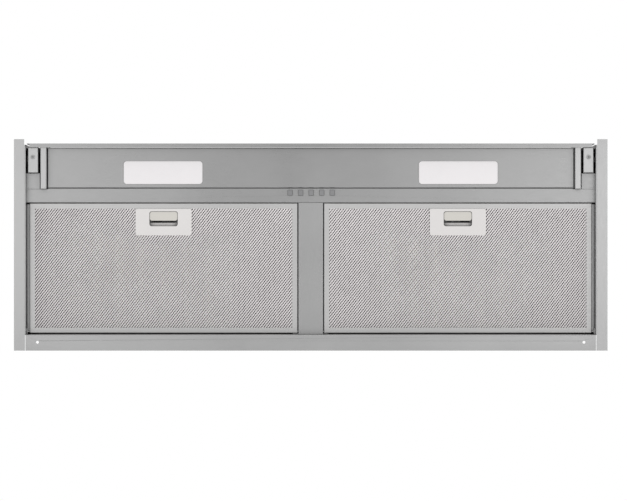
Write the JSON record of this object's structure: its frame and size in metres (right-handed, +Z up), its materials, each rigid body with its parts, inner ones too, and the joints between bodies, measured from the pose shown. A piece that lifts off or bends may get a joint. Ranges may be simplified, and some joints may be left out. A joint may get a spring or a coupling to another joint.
{
  "type": "range hood insert",
  "caption": "Built-in range hood for a wall cabinet: flanged steel canopy with grease filters, lamps, push buttons, hinged front flap, fan box and round duct collar.",
  "frame": {"origin": "middle of the cabinet flange's underside, at its lowest level", "axes": "+X to the right for someone at the hood, +Y towards the wall behind it, +Z up along the duct collar"},
  "size_m": [0.898, 0.32, 0.395],
  "materials": {
    "stainless": "brushed along X",
    "galvanised": "zinc spangle, satin",
    "bright_steel": "bright zinc",
    "filter_mesh": "expanded mesh, satin",
    "latch_plastic": "satin, off-white",
    "button_plastic": "satin, dark grey",
    "lens": "frosted white",
    "lamp_body": "satin, light grey",
    "board": "satin, green",
    "scroll_plastic": "moulded, black",
    "wheel_plastic": "moulded, grey",
    "motor_metal": "satin",
    "rubber": "matt",
    "box_plastic": "satin",
    "capacitor_body": "satin, pale grey"
  },
  "bodies": {
    "hood": {"bulkhead": "galvanised", "cable_gland": "box_plastic", "capacitor": "capacitor_body", "centre_rail": "stainless", "control_plate": "stainless", "damper_pin": "bright_steel", "fan_box": "galvanised", "fan_box_lid": "galvanised", "filter_hangers": "stainless", "hinge_bracket_left": "stainless", "hinge_bracket_right": "stainless", "hinge_pins": "bright_steel", "lamp_housing_left": "lamp_body", "lamp_housing_right": "lamp_body", "lamp_lens_left": "lens", "lamp_lens_right": "lens", "lamp_panel": "stainless", "led_boards": "board", "led_driver": "lamp_body", "motor": "motor_metal", "motor_bracket": "galvanised", "motor_grommets": "rubber", "outlet_collar": "galvanised", "rear_panel": "stainless", "rivets": "bright_steel", "screws": "bright_steel", "scroll_left": "scroll_plastic", "scroll_right": "scroll_plastic", "side_panel_left": "stainless", "side_panel_right": "stainless", "switch_board": "board", "switch_housing": "lamp_body", "terminal_box": "box_plastic", "terminal_cover": "box_plastic", "top_deck": "galvanised"},
    "flap": {"front_flap": "stainless", "flap_arm_left": "stainless", "flap_arm_right": "stainless"},
    "fan_wheel": {"impeller_left": "wheel_plastic", "impeller_right": "wheel_plastic", "motor_shaft": "bright_steel"},
    "damper_rear": {"damper_rear": "galvanised"},
    "damper_front": {"damper_front": "galvanised"},
    "filter_left": {"filter_frame_left": "stainless", "filter_net_left": "filter_mesh", "filter_core_left": "filter_mesh", "latch_housing_left": "latch_plastic", "latch_spring_left": "bright_steel"},
    "latch_left": {"latch_slider_left": "latch_plastic"},
    "filter_right": {"filter_frame_right": "stainless", "filter_net_right": "filter_mesh", "filter_core_right": "filter_mesh", "latch_housing_right": "latch_plastic", "latch_spring_right": "bright_steel"},
    "latch_right": {"latch_slider_right": "latch_plastic"},
    "button_1": {"button_1": "button_plastic"},
    "button_2": {"button_2": "button_plastic"},
    "button_3": {"button_3": "button_plastic"},
    "button_4": {"button_4": "button_plastic"},
    "button_5": {"button_5": "button_plastic"}
  },
  "joints": [
    {"name": "flap_hinge", "type": "hinge", "parent": "hood", "child": "flap", "pos_m": [0, -0.115, 0.112], "axis": [-1, 0, 0], "range_deg": [0, 30]},
    {"name": "fan_spin", "type": "hinge", "parent": "hood", "child": "fan_wheel", "pos_m": [0, -0.038, 0.224], "axis": [1, 0, 0], "continuous": true},
    {"name": "damper_rear_hinge", "type": "hinge", "parent": "hood", "child": "damper_rear", "pos_m": [0, 0.027, 0.368], "axis": [1, 0, 0], "range_deg": [0, 80]},
    {"name": "damper_front_hinge", "type": "hinge", "parent": "hood", "child": "damper_front", "pos_m": [0, 0.027, 0.368], "axis": [-1, 0, 0], "range_deg": [0, 80]},
    {"name": "filter_left_hinge", "type": "hinge", "parent": "hood", "child": "filter_left", "pos_m": [0, 0.1314, 0.024], "axis": [1, 0, 0], "range_deg": [0, 75]},
    {"name": "latch_left_slide", "type": "slide", "parent": "filter_left", "child": "latch_left", "axis": [0, 1, 0], "range_m": [0, 0.004], "stiffness_N_per_m": 300, "springref_m": -0.003, "deforming": ["latch_spring_left"]},
    {"name": "filter_right_hinge", "type": "hinge", "parent": "hood", "child": "filter_right", "pos_m": [0, 0.1314, 0.024], "axis": [1, 0, 0], "range_deg": [0, 75]},
    {"name": "latch_right_slide", "type": "slide", "parent": "filter_right", "child": "latch_right", "axis": [0, 1, 0], "range_m": [0, 0.004], "stiffness_N_per_m": 300, "springref_m": -0.003, "deforming": ["latch_spring_right"]},
    {"name": "button_1_press", "type": "slide", "parent": "hood", "child": "button_1", "axis": [0, 0, 1], "range_m": [0, 0.002], "stiffness_N_per_m": 200, "springref_m": -0.002},
    {"name": "button_2_press", "type": "slide", "parent": "hood", "child": "button_2", "axis": [0, 0, 1], "range_m": [0, 0.002], "stiffness_N_per_m": 200, "springref_m": -0.002},
    {"name": "button_3_press", "type": "slide", "parent": "hood", "child": "button_3", "axis": [0, 0, 1], "range_m": [0, 0.002], "stiffness_N_per_m": 200, "springref_m": -0.002},
    {"name": "button_4_press", "type": "slide", "parent": "hood", "child": "button_4", "axis": [0, 0, 1], "range_m": [0, 0.002], "stiffness_N_per_m": 200, "springref_m": -0.002},
    {"name": "button_5_press", "type": "slide", "parent": "hood", "child": "button_5", "axis": [0, 0, 1], "range_m": [0, 0.002], "stiffness_N_per_m": 200, "springref_m": -0.002}
  ]
}
